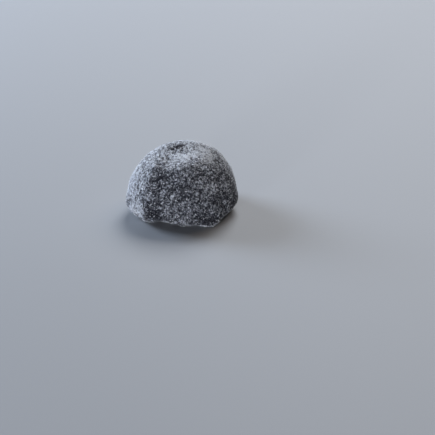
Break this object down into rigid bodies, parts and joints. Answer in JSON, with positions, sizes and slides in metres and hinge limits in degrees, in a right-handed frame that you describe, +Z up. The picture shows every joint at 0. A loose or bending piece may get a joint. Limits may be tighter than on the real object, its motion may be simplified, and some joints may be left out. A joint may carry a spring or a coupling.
{
  "type": "mochi ice cream ball",
  "caption": "Whole mochi rice cake: a low lumpy dome of dark rice dough dusted with pale starch, resting flat on its pinched underside.",
  "frame": {"origin": "on the flat resting face, under the middle of the footprint", "axes": "+Z up through the crown, -Y towards the front, +X to the right seen from the front"},
  "size_m": [0.0448, 0.0426, 0.0278],
  "materials": {
    "dusted_skin": "soft dark dough under a thin mottled layer of dry white starch"
  },
  "bodies": {
    "root": {"mochi": "dusted_skin"}
  },
  "joints": []
}
